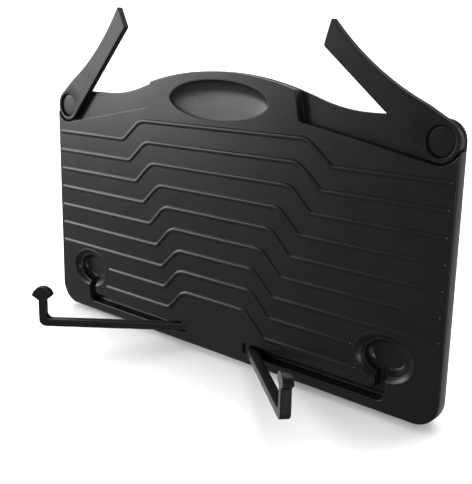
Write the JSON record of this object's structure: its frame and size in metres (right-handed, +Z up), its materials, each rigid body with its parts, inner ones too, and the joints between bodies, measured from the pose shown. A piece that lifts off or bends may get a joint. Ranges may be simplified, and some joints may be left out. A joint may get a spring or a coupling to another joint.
{
  "type": "folding album stand",
  "caption": "Leaning moulded panel with swing-out ears, stowing L-shaped retainer arms and a folding rear kickstand, for holding an open album, book or sheets.",
  "frame": {"origin": "middle of the bounding box's footprint, on the ground under the stand", "axes": "+X along the panel's width, the viewer's right; -Y is the way the panel faces; +Z up"},
  "size_m": [0.3, 0.1302, 0.1986],
  "materials": {
    "shell_plastic": "satin",
    "moulding_plastic": "satin",
    "cover_plastic": "fine texture",
    "rubber": "matt",
    "steel": "satin"
  },
  "bodies": {
    "panel": {"front_shell": "shell_plastic", "rear_cover": "cover_plastic", "cover_screw_1": "steel", "cover_screw_2": "steel", "cover_screw_3": "steel", "cover_screw_4": "steel", "cover_screw_5": "steel", "cover_screw_6": "steel", "cover_screw_7": "steel", "cover_screw_8": "steel", "foot_pad_left": "rubber", "ear_spring_left": "steel", "arm_pin_left": "steel", "arm_washer_left": "steel", "hinge_washer_left": "steel", "hinge_plate_left": "steel", "hinge_screw_left": "steel", "foot_pad_right": "rubber", "ear_spring_right": "steel", "arm_pin_right": "steel", "arm_washer_right": "steel", "hinge_washer_right": "steel", "hinge_plate_right": "steel", "hinge_screw_right": "steel", "kickstand_pin": "steel"},
    "left_ear": {"ear_left": "moulding_plastic", "ear_cap_left": "moulding_plastic", "ear_screw_left": "steel", "ear_washer_left": "steel"},
    "right_ear": {"ear_right": "moulding_plastic", "ear_cap_right": "moulding_plastic", "ear_screw_right": "steel", "ear_washer_right": "steel"},
    "left_arm": {"arm_left": "moulding_plastic"},
    "right_arm": {"arm_right": "moulding_plastic"},
    "kickstand": {"kickstand_leg": "cover_plastic", "kickstand_foot": "rubber"}
  },
  "joints": [
    {"name": "ear_left_swing", "type": "hinge", "parent": "panel", "child": "left_ear", "pos_m": [-0.1397, 0.02438, 0.13786], "axis": [0, -0.9659, 0.2588], "range_deg": [-37, 98]},
    {"name": "ear_right_swing", "type": "hinge", "parent": "panel", "child": "right_ear", "pos_m": [0.1397, 0.02438, 0.13786], "axis": [0, 0.9659, -0.2588], "range_deg": [-28.5, 106.5]},
    {"name": "arm_left_swing", "type": "hinge", "parent": "panel", "child": "left_arm", "pos_m": [-0.027, -0.00635, 0.01119], "axis": [0, 0.2588, 0.9659], "range_deg": [-40, 50]},
    {"name": "arm_right_swing", "type": "hinge", "parent": "panel", "child": "right_arm", "pos_m": [0.027, -0.00635, 0.01119], "axis": [0, -0.2588, -0.9659], "range_deg": [-38, 52]},
    {"name": "kickstand_fold", "type": "hinge", "parent": "panel", "child": "kickstand", "pos_m": [0, 0.03401, 0.12782], "axis": [1, 0, 0], "range_deg": [-27.6, 0]}
  ]
}
